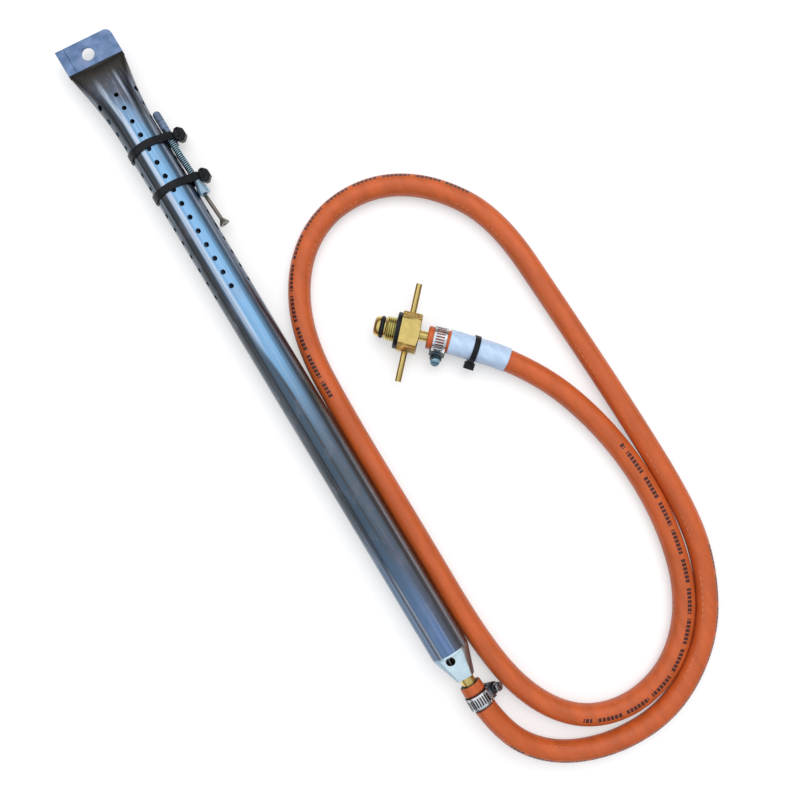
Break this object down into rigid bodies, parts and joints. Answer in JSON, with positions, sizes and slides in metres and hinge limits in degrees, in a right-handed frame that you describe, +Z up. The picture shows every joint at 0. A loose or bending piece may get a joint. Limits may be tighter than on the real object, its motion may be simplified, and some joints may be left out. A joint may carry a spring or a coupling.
{
  "type": "gas fire poker",
  "caption": "Propane fire poker: perforated burner tube with a flattened hanging lug, air cone, clamped orange gas hose and a brass cylinder connector with a tommy-bar nut.",
  "frame": {"origin": "centre of the hanging hole in the burner's flattened lug, at the middle of its thickness", "axes": "+X along the burner from the lug to the hose, +Z up from the surface it lies on, out of the lug's face"},
  "size_m": [0.572, 0.2041, 0.0278],
  "materials": {
    "burner_steel": "brushed along the tube, heat-mottled at the lug",
    "cone_steel": "satin, pressed",
    "brass": "turned, bright",
    "clamp_steel": "bright zinc",
    "clamp_screw_steel": "bright zinc",
    "hose_orange": "smooth, semi-matt",
    "seal_rubber": "matt",
    "tie_nylon": "moulded nylon",
    "plug_nylon": "moulded nylon",
    "bolt_zinc": "zinc plated",
    "screw_zinc": "yellow passivated zinc",
    "tag_film": "satin film, blank"
  },
  "bodies": {
    "burner": {"burner_tube": "burner_steel", "tail_cone": "cone_steel", "burner_hose_tail": "brass", "gas_jet": "brass", "bull_nose_spigot": "brass", "wall_plug": "plug_nylon", "fixing_bolt": "bolt_zinc", "fixing_screw": "screw_zinc", "cable_tie_front": "tie_nylon", "cable_tie_rear": "tie_nylon", "tag_tie": "tie_nylon", "gas_hose": "hose_orange", "nose_o_ring": "seal_rubber", "burner_clamp_band": "clamp_steel", "burner_clamp_housing": "clamp_steel", "cylinder_clamp_band": "clamp_steel", "cylinder_clamp_housing": "clamp_steel", "hose_tag": "tag_film"},
    "nut": {"coupling_nut": "brass", "t_bar_left": "brass", "t_bar_right": "brass", "seal_washer": "seal_rubber"},
    "burner_clamp_worm": {"burner_clamp_screw": "clamp_screw_steel"},
    "cylinder_clamp_worm": {"cylinder_clamp_screw": "clamp_screw_steel"}
  },
  "joints": [
    {"name": "coupling_nut_spin", "type": "hinge", "parent": "burner", "child": "nut", "pos_m": [0.25338, 0.07951, -0.00122], "axis": [0.6881, 0.7256, 0], "continuous": true},
    {"name": "burner_clamp_screw_turn", "type": "hinge", "parent": "burner", "child": "burner_clamp_worm", "pos_m": [0.4805, 0.01048, -0.00787], "axis": [0, 0.6678, 0.7443], "continuous": true},
    {"name": "cylinder_clamp_screw_turn", "type": "hinge", "parent": "burner", "child": "cylinder_clamp_worm", "pos_m": [0.27832, 0.09169, -0.0079], "axis": [0.411, -0.3897, 0.8241], "continuous": true}
  ]
}
